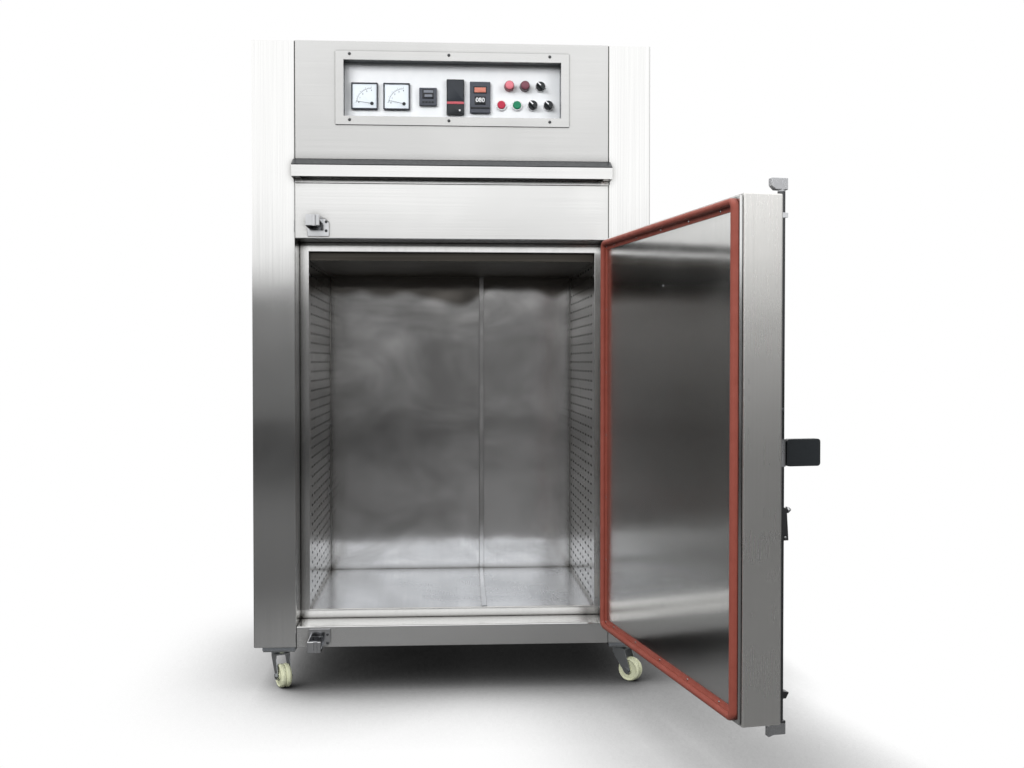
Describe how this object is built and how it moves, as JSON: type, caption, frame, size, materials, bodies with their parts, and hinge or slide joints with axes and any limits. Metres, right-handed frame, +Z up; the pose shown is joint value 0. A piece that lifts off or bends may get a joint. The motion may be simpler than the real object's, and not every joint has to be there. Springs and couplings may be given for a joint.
{
  "type": "industrial hot-air baking oven",
  "caption": "Free-standing steel baking oven on swivel casters: insulated door on side hinges with a turning rod lock, ducted chamber, instrument panel above.",
  "frame": {"origin": "on the floor, under the middle of the oven's footprint with its door open as at rest", "axes": "+Z up, -Y out of the chamber's mouth towards the user, +X to the user's right, the hinge side"},
  "size_m": [1.2797, 1.7242, 1.76],
  "materials": {
    "steel": "brushed stainless steel sheet, fine vertical grain",
    "liner": "smooth stainless steel liner sheet",
    "plate": "satin anodised plate",
    "chrome": "bright chromed die casting",
    "zinc": "bright zinc-plated pressed steel",
    "silicone": "brick-red silicone rubber",
    "black": "black moulded plastic",
    "grey": "dark grey instrument case",
    "red": "translucent red lens",
    "dark_red": "unlit dark red lens",
    "green": "green push-button cap",
    "nylon": "cream nylon, lightly scuffed"
  },
  "bodies": {
    "cabinet": {"left_side_casing": "steel", "right_side_casing": "steel", "roof_panel": "steel", "back_panel": "steel", "base_panel": "steel", "header_panel": "steel", "heat_ledge": "steel", "door_frame": "steel", "control_front_sheet": "steel", "control_bezel": "steel", "left_base_rail": "steel", "right_base_rail": "steel", "chamber_back": "liner", "chamber_floor": "liner", "chamber_ceiling": "liner", "ceiling_baffle": "liner", "left_duct_panel": "liner", "right_duct_panel": "liner", "instrument_tray": "plate", "upper_keeper": "chrome", "lower_keeper": "chrome", "upper_hinge_post": "chrome", "lower_hinge_post": "chrome", "ledge_strip": "black", "limit_controller": "black", "voltage_meter": "grey", "current_meter": "grey", "timer": "grey", "temperature_controller": "grey", "power_lamp": "red", "alarm_lamp": "dark_red", "front_left_caster_plate": "zinc", "front_right_caster_plate": "zinc", "rear_left_caster_plate": "zinc", "rear_right_caster_plate": "zinc"},
    "door": {"door_slab": "steel", "door_pan": "steel", "door_gasket": "silicone", "upper_hinge_strap": "chrome", "lower_hinge_strap": "chrome", "upper_rod_guide": "chrome", "lower_rod_guide": "chrome", "lock_catch_plate": "chrome"},
    "lock": {"lock_rod": "chrome", "lock_grip": "black"},
    "upper_selector_knob": {"upper_selector": "black"},
    "lower_selector_knob": {"lower_selector": "black"},
    "right_selector_knob": {"right_selector": "black"},
    "red_push_button": {"red_button": "red"},
    "green_push_button": {"green_button": "green"},
    "front_left_swivel": {"front_left_fork": "zinc"},
    "front_left_roller": {"front_left_wheel": "nylon"},
    "front_right_swivel": {"front_right_fork": "zinc"},
    "front_right_roller": {"front_right_wheel": "nylon"},
    "rear_left_swivel": {"rear_left_fork": "zinc"},
    "rear_left_roller": {"rear_left_wheel": "nylon"},
    "rear_right_swivel": {"rear_right_fork": "zinc"},
    "rear_right_roller": {"rear_right_wheel": "nylon"}
  },
  "joints": [
    {"name": "door_swing", "type": "hinge", "parent": "cabinet", "child": "door", "pos_m": [0.389, 0.047, 0.703], "axis": [0, 0, 1], "range_deg": [-100, 25]},
    {"name": "lock_turn", "type": "hinge", "parent": "door", "child": "lock", "pos_m": [0.55614, -0.76329, 0.7115], "axis": [0, 0, -1], "range_deg": [-90, 0]},
    {"name": "upper_selector_turn", "type": "hinge", "parent": "cabinet", "child": "upper_selector_knob", "pos_m": [0.14245, 0.0877, 1.6515], "axis": [0, 1, 0], "range_deg": [0, 90]},
    {"name": "lower_selector_turn", "type": "hinge", "parent": "cabinet", "child": "lower_selector_knob", "pos_m": [0.12095, 0.0877, 1.6], "axis": [0, 1, 0], "range_deg": [0, 90]},
    {"name": "right_selector_turn", "type": "hinge", "parent": "cabinet", "child": "right_selector_knob", "pos_m": [0.16395, 0.0877, 1.6], "axis": [0, 1, 0], "range_deg": [0, 90]},
    {"name": "red_button_press", "type": "slide", "parent": "cabinet", "child": "red_push_button", "axis": [0, 1, 0], "range_m": [0, 0.004], "stiffness_N_per_m": 300},
    {"name": "green_button_press", "type": "slide", "parent": "cabinet", "child": "green_push_button", "axis": [0, 1, 0], "range_m": [0, 0.004], "stiffness_N_per_m": 300},
    {"name": "front_left_caster_swivel", "type": "hinge", "parent": "cabinet", "child": "front_left_swivel", "pos_m": [-0.576, 0.137, 0.091], "axis": [0, 0, 1], "continuous": true},
    {"name": "front_left_wheel_roll", "type": "hinge", "parent": "front_left_swivel", "child": "front_left_roller", "pos_m": [-0.56501, 0.11344, 0.0325], "axis": [0.9063, 0.4226, 0], "continuous": true},
    {"name": "front_right_caster_swivel", "type": "hinge", "parent": "cabinet", "child": "front_right_swivel", "pos_m": [0.38, 0.137, 0.091], "axis": [0, 0, 1], "continuous": true},
    {"name": "front_right_wheel_roll", "type": "hinge", "parent": "front_right_swivel", "child": "front_right_roller", "pos_m": [0.39992, 0.12029, 0.0325], "axis": [0.6428, 0.766, 0], "continuous": true},
    {"name": "rear_left_caster_swivel", "type": "hinge", "parent": "cabinet", "child": "rear_left_swivel", "pos_m": [-0.576, 0.787, 0.091], "axis": [0, 0, 1], "continuous": true},
    {"name": "rear_left_wheel_roll", "type": "hinge", "parent": "rear_left_swivel", "child": "rear_left_roller", "pos_m": [-0.56711, 0.81143, 0.0325], "axis": [-0.9397, 0.342, 0], "continuous": true},
    {"name": "rear_right_caster_swivel", "type": "hinge", "parent": "cabinet", "child": "rear_right_swivel", "pos_m": [0.38, 0.787, 0.091], "axis": [0, 0, 1], "continuous": true},
    {"name": "rear_right_wheel_roll", "type": "hinge", "parent": "rear_right_swivel", "child": "rear_right_roller", "pos_m": [0.36901, 0.81056, 0.0325], "axis": [-0.9063, -0.4226, 0], "continuous": true}
  ]
}
